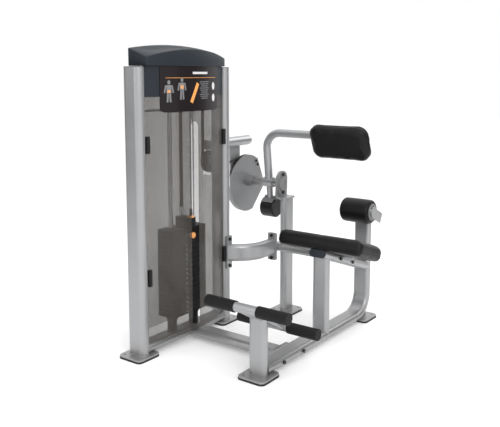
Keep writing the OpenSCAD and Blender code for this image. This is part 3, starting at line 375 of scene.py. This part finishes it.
ink_orange = coated("orange_ink", (0.80, 0.32, 0.08), (0.92, 0.42, 0.12), 0.30, 0.1, 300, 0.05)
ink_grey = coated("grey_ink", (0.16, 0.16, 0.17), (0.22, 0.22, 0.23), 0.30, 0.1, 300, 0.05)
ink_white = coated("white_ink", (0.62, 0.62, 0.62), (0.72, 0.72, 0.72), 0.30, 0.1, 300, 0.05)
figure = [("disc", -0.18, 0.035, 0.018, 0.022, 0), ("bar", -0.18, 0.0, 0.030, 0.042, 0),
          ("bar", -0.203, 0.0, 0.008, 0.040, -12), ("bar", -0.157, 0.0, 0.008, 0.040, 12),
          ("bar", -0.188, -0.045, 0.011, 0.045, -4), ("bar", -0.172, -0.045, 0.011, 0.045, 4)]
second = [(kind, y + 0.085, z + 0.012, w, h, turn) for kind, y, z, w, h, turn in figure]
printed("placard_figures", ink_grey, figure + second)
printed("placard_accents", ink_orange,
        [("bar", 0.0, -0.022, 0.022, 0.115, -28), ("bar", -0.18, -0.012, 0.018, 0.014, 0),
         ("bar", -0.095, 0.010, 0.022, 0.018, 0), ("bar", 0.0, 0.058, 0.40, 0.002, 0)])
printed("placard_lines", ink_grey, [("bar", 0.085, 0.035 - 0.011 * i, 0.085 - 0.012 * (i % 3), 0.004, 0)
                                    for i in range(9)])
printed("placard_discs", ink_white, [("disc", 0.178, 0.012, 0.030, 0.042, 0), ("disc", 0.178, -0.052, 0.030, 0.042, 0),
                                     ("bar", 0.05, 0.083, 0.13, 0.012, 0)])

# ---- Plate numbers ----
# Each plate carries a small printed label left of the pin hole, numbered in equal steps.

label_mat = coated("label_white", (0.55, 0.55, 0.55), (0.68, 0.68, 0.68), 0.40, 0.1, 300, 0.1)
plates_lo, plates_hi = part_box("resting_plates")
lifted_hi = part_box("lifted_plates")[1]
plate_count, lifted_count, number_step = 18, 2, 5
pitch = (lifted_hi.z - plates_lo.z) / plate_count
label_y = (plates_lo.y + plates_hi.y) / 2 - 0.022


def plate_label(step, z):
    """A raised number standing on the front of the plate at height z."""
    bpy.ops.object.select_all(action="DESELECT")
    bpy.ops.object.text_add(location=(0, 0, 0))
    text = bpy.context.object
    text.data.body = str(step)
    text.data.size, text.data.extrude = 0.015, 0.0003
    text.data.align_x, text.data.align_y = "CENTER", "CENTER"
    bpy.ops.object.convert(target="MESH")
    turn = Matrix.Rotation(math.pi / 2, 4, "Z") @ Matrix.Rotation(math.pi / 2, 4, "X")
    bpy.context.object.data.transform(Matrix.Translation((plates_hi.x + 0.0003, label_y, z)) @ turn)
    return bpy.context.object


for name, body, numbers in (("resting_numbers", "frame", range(lifted_count, plate_count)),
                            ("lifted_numbers", "lifted_stack", range(0, lifted_count))):
    labels = [plate_label(number_step * (i + 1), lifted_hi.z - (i + 0.5) * pitch) for i in numbers]
    only(*labels)
    bpy.ops.object.join()
    joined = bpy.context.object
    joined.name = name
    finish(label_mat, joined)
    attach(joined, body)

# ---- Selector pin and add-on weight's collar ----
# The pin is a chromed rod in an orange turned knob with finger grooves. The add-on weight's
# collar is the same orange.

orange = coated("orange_plastic", (0.78, 0.30, 0.07), (0.90, 0.40, 0.12), 0.26, 0.1, 700, 0.15,
                worn=(0.95, 0.6, 0.3), Coat_Weight=0.4, Coat_Roughness=0.15)


def turned(name, profile, steps=64):
    """Draws a circle out along X through (along, radius) points. A profile that ends where it began is a
    ring; any other is capped at both ends."""
    bpy.ops.object.select_all(action="DESELECT")
    x, r = profile[0]
    bpy.ops.mesh.primitive_circle_add(vertices=steps, radius=r, fill_type="NOTHING", location=(x, 0, 0),
                                      rotation=(0, math.pi / 2, 0))
    piece = bpy.context.object
    piece.name = name
    bpy.ops.object.transform_apply(location=True, rotation=True, scale=True)
    bpy.ops.object.mode_set(mode="EDIT")
    bpy.ops.mesh.select_all(action="SELECT")
    for along, radius in profile[1:]:
        bpy.ops.mesh.extrude_region_move(TRANSFORM_OT_translate={"value": (along - x, 0, 0)})
        bpy.ops.transform.resize(value=(1, radius / r, radius / r), center_override=(along, 0, 0))
        x, r = along, radius
    bpy.ops.mesh.select_all(action="SELECT")
    bpy.ops.mesh.remove_doubles(threshold=0.00001)
    bpy.ops.mesh.fill_holes(sides=0)
    bpy.ops.mesh.select_all(action="SELECT")
    bpy.ops.mesh.normals_make_consistent(inside=False)
    bpy.ops.object.mode_set(mode="OBJECT")
    bpy.ops.object.shade_smooth_by_angle(angle=math.radians(35))
    return piece


def put(piece, x, y, z, turn=None):
    """Moves a piece's mesh to its place."""
    piece.data.transform(Matrix.Translation((x, y, z)) @ (turn or Matrix.Identity(4)))
    return piece


pin_lo, pin_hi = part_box("selector_pin")
pin_y, pin_z = (pin_lo.y + pin_hi.y) / 2, (pin_lo.z + pin_hi.z) / 2
pin_len = pin_hi.x - pin_lo.x
rod = turned("selector_rod", [(0, 0.003), (0.002, 0.005), (pin_len - 0.040, 0.005),
                              (pin_len - 0.040, 0.009), (pin_len - 0.030, 0.009)])
put(rod, pin_lo.x, pin_y, pin_z)
knob = turned("selector_knob", [(-0.031, 0.010), (-0.022, 0.0105), (-0.0165, 0.0135), (-0.014, 0.0165),
                                (-0.011, 0.017), (-0.0095, 0.0162), (-0.008, 0.017), (-0.0055, 0.017),
                                (-0.002, 0.0155), (0, 0.012), (-0.0006, 0.0105)])
put(knob, pin_hi.x, pin_y, pin_z)
finish(chrome, rod)
finish(orange, knob)
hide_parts("selector_pin")
for piece, slot in ((rod, "chrome"), (knob, "orange_plastic")):
    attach(piece, "selector_pin")

block_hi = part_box("add_on_weight")[1]
collar = turned("add_on_collar", [(0, 0.0072), (0, 0.019), (0.002, 0.0205), (0.007, 0.0205), (0.0095, 0.018),
                                  (0.0095, 0.0072), (0, 0.0072)])
put(collar, block_hi.x - 0.018, pin_y, block_hi.z - 0.049, Matrix.Rotation(-math.pi / 2, 4, "Y"))
finish(orange, collar)
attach(collar, "lifted_stack")

# ---- Upholstery ----
# Seat, back pad and lumbar roll are foam under black vinyl, pulled tight and stapled behind. The
# foam swells the cover between its seams, and a thin welt covers each seam.

vinyl, tree, shader = finish_named("black_vinyl", Specular_IOR_Level=0.22, Coat_Weight=0.04,
                                   Coat_Roughness=0.3)
base = use(tree, mottle, {"Low": (0.0025, 0.0025, 0.0028, 1), "High": (0.0055, 0.0055, 0.006, 1), "Patch": 9.0,
                          "Fine": 1500.0, "Dull": 0.34, "Dull Range": 0.14})
place = add(tree, "ShaderNodeTexCoord").outputs["Object"]
pebble = add(tree, "ShaderNodeTexVoronoi", {"Vector": place, "Scale": 620.0}, feature="DISTANCE_TO_EDGE")
creases = add(tree, "ShaderNodeTexNoise", {"Vector": place, "Scale": 18.0, "Detail": 6.0, "Distortion": 0.6})
height = add(tree, "ShaderNodeMath", {0: creases.outputs["Fac"], 1: 1.6, 2: pebble.outputs["Distance"]},
             operation="MULTIPLY_ADD")
tree.links.new(base.outputs["Color"], shader.inputs["Base Color"])
tree.links.new(base.outputs["Roughness"], shader.inputs["Roughness"])
join_bump(tree, shader, height.outputs[0], 0.35, 0.0008)


def foam_block(name, size, corner, roll):
    """A block of foam: a cube with round corners in plan (corner) and a rolled edge (roll)."""
    bpy.ops.object.select_all(action="DESELECT")
    bpy.ops.mesh.primitive_cube_add(size=1.0)
    piece = bpy.context.object
    piece.name = name
    piece.data.transform(Matrix.Diagonal((size[0], size[1], size[2], 1)))
    bpy.ops.object.mode_set(mode="EDIT")
    bpy.ops.mesh.select_all(action="DESELECT")
    bpy.ops.object.mode_set(mode="OBJECT")
    for edge in piece.data.edges:
        a, b = (piece.data.vertices[i].co for i in edge.vertices)
        edge.select = abs(a.z - b.z) > size[2] / 2
    bpy.ops.object.mode_set(mode="EDIT")
    bpy.ops.mesh.select_mode(type="EDGE")
    bpy.ops.mesh.bevel(offset=corner, segments=8, affect="EDGES")
    bpy.ops.object.mode_set(mode="OBJECT")
    bevel = piece.modifiers.new("roll", "BEVEL")
    bevel.width, bevel.segments, bevel.angle_limit = roll, 5, math.radians(60)
    apply_all(piece)
    return piece


def swell(piece, voxel, cap, floor_z):
    """Inflates the cover by a short cloth run, caps how far it may move, and keeps the base flat."""
    remesh = piece.modifiers.new("cells", "REMESH")
    remesh.mode, remesh.voxel_size = "VOXEL", voxel
    even = piece.modifiers.new("even", "SMOOTH")
    even.factor, even.iterations = 0.5, 6
    apply_all(piece)
    rest = [v.co.copy() for v in piece.data.vertices]
    cloth = piece.modifiers.new("cover", "CLOTH")
    cloth.settings.use_pressure = True
    cloth.settings.uniform_pressure_force = 4
    cloth.settings.effector_weights.gravity = 0
    for step in range(1, 21):
        bpy.context.scene.frame_set(step)
    apply_all(piece)
    bpy.context.scene.frame_set(1)
    for vertex, start in zip(piece.data.vertices, rest):
        move = vertex.co - start
        if move.length > cap:
            vertex.co = start + move * (cap / move.length)
        if start.z < floor_z + 0.002 and vertex.co.z < start.z:
            vertex.co.z = start.z
    subdivide = piece.modifiers.new("smooth", "SUBSURF")
    subdivide.levels = subdivide.render_levels = 1
    apply_all(piece)
    bpy.ops.object.shade_smooth()
    return piece


def welt(name, host, path, radius, closed=True):
    """A thin sewn tube that follows path, drawn in to the host's surface."""
    curve = bpy.data.curves.new(name, "CURVE")
    curve.dimensions, curve.bevel_depth, curve.bevel_resolution = "3D", radius, 3
    spline = curve.splines.new("POLY")
    spline.points.add(len(path) - 1)
    for point, place in zip(spline.points, path):
        _, spot, normal, _ = host.closest_point_on_mesh(Vector(place))
        point.co = (*(spot + normal * radius * 0.25), 1)
    spline.use_cyclic_u = closed
    piece = bpy.data.objects.new(name, curve)
    bpy.context.scene.collection.objects.link(piece)
    only(piece)
    bpy.ops.object.convert(target="MESH")
    bpy.ops.object.shade_smooth()
    return bpy.context.object


def loop_points(w, h, corner, z, step=0.006):
    """Points round a rounded rectangle at height z."""
    points = []
    for k, (sx, sy) in enumerate(((1, 1), (-1, 1), (-1, -1), (1, -1))):
        for i in range(13):
            a = math.radians(90 * k + 7.5 * i)
            points.append((sx * (w / 2 - corner) + corner * math.cos(a),
                           sy * (h / 2 - corner) + corner * math.sin(a), z))
    dense = []
    for i, start in enumerate(points):
        a, b = Vector(start), Vector(points[(i + 1) % len(points)])
        count = max(1, int((b - a).length / step))
        dense += [tuple(a.lerp(b, j / count)) for j in range(count)]
    return dense


def upholstered(piece, welts, place, node, body):
    """Seats a finished cushion and its welts, and lets it stand for its CAD solid."""
    for part in [piece] + welts:
        part.data.transform(place)
        finish(vinyl, part)
        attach(part, body)
    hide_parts(node)


seat_lo, seat_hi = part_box("seat_pad")
slope = math.radians(19.3)
seat_w, seat_l, seat_t = seat_hi.x - seat_lo.x, 0.290, 0.090
seat_mid = (seat_lo + seat_hi) / 2
seat = foam_block("seat_cushion", (seat_w - 0.002, seat_l - 0.002, seat_t - 0.008), 0.030, 0.030)
swell(seat, 0.006, 0.006, -seat_t / 2 + 0.006)
seat_welts = [welt("seat_welt_top", seat, loop_points(seat_w + 0.02, seat_l + 0.02, 0.040, 0.014), 0.0014),
              welt("seat_welt_base", seat, loop_points(seat_w + 0.02, seat_l + 0.02, 0.040, -0.018), 0.0014)]
upholstered(seat, seat_welts, Matrix.Translation(seat_mid) @ Matrix.Rotation(-slope, 4, "X"),
            "seat_pad", "frame")

back_lo, back_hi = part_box("back_pad")
back_mid = (back_lo + back_hi) / 2
lean = math.radians(23.4)
back_w, back_h, back_t = back_hi.x - back_lo.x, 0.211, 0.070
back = foam_block("back_cushion", (back_w - 0.002, back_h - 0.002, back_t - 0.008), 0.060, 0.020)
swell(back, 0.005, 0.006, -back_t)
back_welts = [welt("back_welt_face", back, loop_points(back_w + 0.02, back_h + 0.02, 0.072, -0.014), 0.0013),
              welt("back_welt_rear", back, loop_points(back_w + 0.02, back_h + 0.02, 0.072, 0.014), 0.0013)]
upholstered(back, back_welts, Matrix.Translation(back_mid) @ Matrix.Rotation(lean - math.pi / 2, 4, "X"),
            "back_pad", "arm")

roll_lo, roll_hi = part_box("lumbar_roll")
roll_mid = (roll_lo + roll_hi) / 2
roll_r, roll_half = (roll_hi.z - roll_lo.z) / 2, (roll_hi.x - roll_lo.x) / 2
profile = [(-roll_half, 0.0165), (-roll_half, roll_r - 0.016), (-roll_half + 0.002, roll_r - 0.009),
           (-roll_half + 0.006, roll_r - 0.004), (-roll_half + 0.012, roll_r - 0.0015)]
crown = [(x, roll_r - 0.0010 + 0.0008 * math.cos(x / roll_half * math.pi / 2)) for x in
         [i * 0.012 for i in range(-6, 7)]]
mirrored = [(-x, r) for x, r in reversed(profile)]
roll = turned("lumbar_cushion", profile + crown + mirrored + [profile[0]], steps=96)
put(roll, *roll_mid)
finish(vinyl, roll)
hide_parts("lumbar_roll")
ring = [(0.0, (roll_r - 0.012) * math.cos(a), (roll_r - 0.012) * math.sin(a)) for a in
        [math.radians(4 * i) for i in range(90)]]
roll_welts = [welt("lumbar_welt_%d" % i, roll, [tuple(Vector(p) + roll_mid + Vector((s * (roll_half - 0.001), 0, 0)))
                                                for p in ring], 0.0018) for i, s in enumerate((-1, 1))]
for part in [roll] + roll_welts:
    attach(part, "lumbar_roll")
    finish(vinyl, part)

# ---- Lumbar disc screws, seat tube cap and cam clamp ----
# Small hardware: three screws in each end disc of the roll, the moulded cap in the seat tube's
# front end, and the bolted clamp that holds the belt's end on the cam.


def cap_screw(name, radius, height):
    """A round-headed screw with a hexagonal socket, standing on Z = 0."""
    bpy.ops.object.select_all(action="DESELECT")
    bpy.ops.mesh.primitive_cylinder_add(vertices=36, radius=radius, depth=height, location=(0, 0, height / 2))
    piece = bpy.context.object
    piece.name = name
    bpy.ops.object.transform_apply(location=True)
    bevel = piece.modifiers.new("edge", "BEVEL")
    bevel.width, bevel.segments, bevel.angle_limit = radius * 0.16, 3, math.radians(50)
    apply_all(piece)
    bpy.ops.mesh.primitive_cylinder_add(vertices=6, radius=radius * 0.5, depth=height,
                                        location=(0, 0, height * 1.05))
    cutter = bpy.context.object
    cut = piece.modifiers.new("socket", "BOOLEAN")
    cut.object, cut.operation, cut.solver = cutter, "DIFFERENCE", "EXACT"
    apply_all(piece)
    bpy.data.objects.remove(cutter)
    only(piece)
    bpy.ops.object.shade_smooth_by_angle(angle=math.radians(35))
    return piece


def screws(name, places, radius, height, body, mat):
    """Copies of one screw at each (point, direction)."""
    first = cap_screw(name, radius, height)
    copies = []
    for point, way in places:
        copy = first.copy()
        copy.data = first.data.copy()
        bpy.context.scene.collection.objects.link(copy)
        turn = Vector((0, 0, 1)).rotation_difference(Vector(way)).to_matrix().to_4x4()
        copy.data.transform(Matrix.Translation(point) @ turn)
        copies.append(copy)
    bpy.data.objects.remove(first)
    only(*copies)
    if len(copies) > 1:
        bpy.ops.object.join()
    piece = bpy.context.object
    piece.name = name
    finish(mat, piece)
    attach(piece, body)
    return piece


tube_lo, tube_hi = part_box("seat_tube")
half = 0.024
mouth = Vector(((tube_lo.x + tube_hi.x) / 2, tube_lo.y + half * math.sin(slope),
                tube_hi.z - half * math.cos(slope)))
bpy.ops.object.select_all(action="DESELECT")
bpy.ops.mesh.primitive_cylinder_add(vertices=64, radius=half - 0.0006, depth=0.005)
plug = bpy.context.object
plug.name = "seat_tube_cap"
plug.data.transform(Matrix.Rotation(math.pi / 2, 4, "X"))
for vertex in plug.data.vertices:
    vertex.co.x += math.copysign(0.028, vertex.co.x) if abs(vertex.co.x) > 1e-6 else 0
plug.data.transform(Matrix.Translation((0, -0.0024, 0)))
rounded(plug, 0.0016, angle=50)
put(plug, *mouth, turn=Matrix.Rotation(-slope, 4, "X"))
finish(slate, plug)
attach(plug, "frame")

core_lo, core_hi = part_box("lumbar_core")
disc_places = []
for side, x in ((-1, core_lo.x), (1, core_hi.x)):
    for k in range(3):
        a = math.radians(30 + 120 * k)
        disc_places.append((Vector((x - side * 0.0002, roll_mid.y + 0.035 * math.cos(a),
                                    roll_mid.z + 0.035 * math.sin(a))), (side, 0, 0)))
screws("disc_screws", disc_places, 0.0045, 0.0016, "lumbar_roll", chrome)

plate_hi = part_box("foot_plates")[1]
shaft_lo, shaft_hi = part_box("pivot_shaft")
shaft_y, shaft_z = (shaft_lo.y + shaft_hi.y) / 2, (shaft_lo.z + shaft_hi.z) / 2
cam_face_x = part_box("cam_belt")[1].x + 0.007
screws("cam_clamp_screws", [(Vector((cam_face_x, shaft_y + y, shaft_z + z)), (1, 0, 0))
                            for y, z in ((0.093, 0.112), (0.110, 0.088))],
       0.008, 0.006, "arm", enamel)

# ---- Weld beads ----
# Where each upright tube meets its foot plate the weld shows as a low, slightly rippled bead under
# the same powder coat.


def oval_loop(cx, cy, w, t, z, turn=False):
    """Points round a flat oval standing at (cx, cy)."""
    straight, r = (w - t) / 2, t / 2
    points = []
    for s in (1, -1):
        for i in range(25):
            a = math.radians(-90 + 7.5 * i) + (0 if s > 0 else math.pi)
            points.append((s * straight + r * math.cos(a), r * math.sin(a)))
    return [(cx - y, cy + x, z) if turn else (cx + x, cy + y, z) for x, y in points]


def bead(name, path, radius=0.0028):
    """A weld bead: a tube round path, its radius rippling as the welder's hand moved."""
    curve = bpy.data.curves.new(name, "CURVE")
    curve.dimensions, curve.bevel_depth, curve.bevel_resolution = "3D", radius, 2
    spline = curve.splines.new("POLY")
    dense = []
    for i, start in enumerate(path):
        a, b = Vector(start), Vector(path[(i + 1) % len(path)])
        count = max(1, int((b - a).length / 0.004))
        dense += [a.lerp(b, j / count) for j in range(count)]
    spline.points.add(len(dense) - 1)
    for i, (point, place) in enumerate(zip(spline.points, dense)):
        point.co = (*place, 1)
        point.radius = 1 + 0.18 * math.sin(i * 1.9)
    spline.use_cyclic_u = True
    piece = bpy.data.objects.new(name, curve)
    bpy.context.scene.collection.objects.link(piece)
    only(piece)
    bpy.ops.object.convert(target="MESH")
    bpy.ops.object.shade_smooth()
    piece = bpy.context.object
    finish(silver, piece)
    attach(piece, "frame")
    return piece


def middle(node):
    """The middle of a node's box in X and Y."""
    low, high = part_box(node)
    return (low.x + high.x) / 2, (low.y + high.y) / 2


plate_z = plate_hi.z
bead("near_column_bead", oval_loop(*middle("near_upright"), 0.118, 0.060, plate_z))
bead("far_column_bead", oval_loop(*middle("far_upright"), 0.118, 0.060, plate_z))
bead("pivot_post_bead", oval_loop(*middle("pivot_post"), 0.104, 0.048, plate_z, turn=True))

# ---- Floor, light and camera ----
# A pale floor under an even white surround. Two unseen dark screens take light from the sides, as a
# studio does, and a key, a fill, a rim light and a bank overhead shape the object.

bpy.ops.object.select_all(action="DESELECT")
bpy.ops.mesh.primitive_plane_add(size=40, location=(0, 0, 0))
floor = bpy.context.object
floor.name = "floor"
floor_mat, tree, shader = finish_named("pale_floor", Roughness=0.9, Emission_Strength=0.16)
shader.inputs["Base Color"].default_value = (0.88, 0.88, 0.88, 1)
shader.inputs["Emission Color"].default_value = (1, 1, 1, 1)
floor.data.materials.append(floor_mat)

world = bpy.data.worlds.new("surround")
bpy.context.scene.world = world
world.use_nodes = True
world.node_tree.nodes["Background"].inputs["Color"].default_value = (1, 1, 1, 1)
world.node_tree.nodes["Background"].inputs["Strength"].default_value = 1.0


def soft_light(name, place, target, size, power):
    """A square area light that faces target."""
    lamp = bpy.data.lights.new(name, "AREA")
    lamp.size, lamp.energy = size, power
    piece = bpy.data.objects.new(name, lamp)
    bpy.context.scene.collection.objects.link(piece)
    piece.location = place
    piece.rotation_euler = (Vector(target) - Vector(place)).to_track_quat("-Z", "Y").to_euler()


soft_light("key", (3.4, -2.6, 3.4), (0, 0, 0.8), 2.4, 70)
soft_light("fill", (-2.2, -3.6, 2.4), (0, 0, 0.8), 2.0, 18)
soft_light("rim", (0.5, 3.6, 3.2), (0, 0, 0.9), 2.0, 35)
soft_light("overhead", (0, 0, 5.0), (0, 0, 0), 6.0, 60)

def dark_screen(name, place, target, width, height):
    """A matt black screen that faces target. It darkens reflections and isn't seen itself."""
    bpy.ops.object.select_all(action="DESELECT")
    bpy.ops.mesh.primitive_plane_add(size=1)
    screen = bpy.context.object
    screen.name = name
    turn = (Vector(target) - Vector(place)).to_track_quat("Z", "Y").to_matrix().to_4x4()
    screen.data.transform(Matrix.Translation(place) @ turn @ Matrix.Diagonal((width, height, 1, 1)))
    screen.data.materials.append(screen_mat)
    screen.visible_camera = False


screen_mat, tree, shader = finish_named("black_screen", Roughness=1.0, Specular_IOR_Level=0.0)
shader.inputs["Base Color"].default_value = (0.01, 0.01, 0.01, 1)
dark_screen("left_screen", (-3.6, -2.2, 1.6), (0, 0, 0.9), 3.2, 3.2)
dark_screen("right_screen", (3.0, 3.2, 1.2), (0.5, 0.2, 0.6), 3.0, 2.6)

bpy.context.scene.view_settings.view_transform = "Standard"
camera = bpy.data.cameras.new("camera")
camera.lens, camera.sensor_width, camera.shift_y = 50.67, 36, -0.1
camera.clip_end = 60
eye = bpy.data.objects.new("camera", camera)
bpy.context.scene.collection.objects.link(eye)
eye.location = (2.1807, -3.1353, 1.488)
eye.rotation_euler = (math.radians(90 - 7.339), 0, math.radians(36.359))
bpy.context.scene.camera = eye
